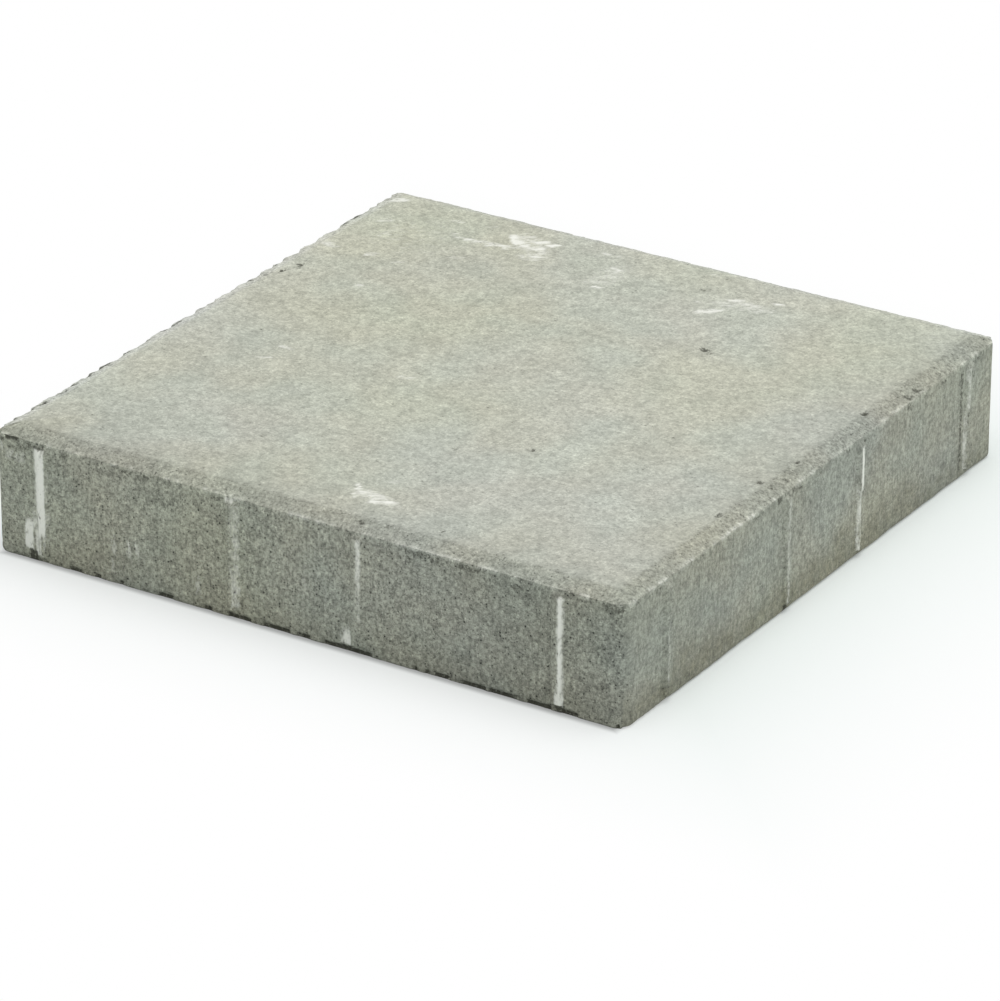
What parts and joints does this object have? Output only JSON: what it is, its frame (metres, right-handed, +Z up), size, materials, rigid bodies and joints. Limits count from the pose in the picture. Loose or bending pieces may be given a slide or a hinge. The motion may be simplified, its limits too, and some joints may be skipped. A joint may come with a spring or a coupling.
{
  "type": "concrete paving slab",
  "caption": "Square pressed concrete paving slab with a shallow bevel round its tread face, slightly rounded corners and low upright spacer nibs on its sides.",
  "frame": {"origin": "middle of the bed face, the flat underside that the slab lies on", "axes": "+Z up through the tread face; X and Y run square to the sides, which are all alike"},
  "size_m": [0.404, 0.404, 0.075],
  "materials": {
    "concrete": "matt"
  },
  "bodies": {
    "root": {"paving_slab": "concrete"}
  },
  "joints": []
}
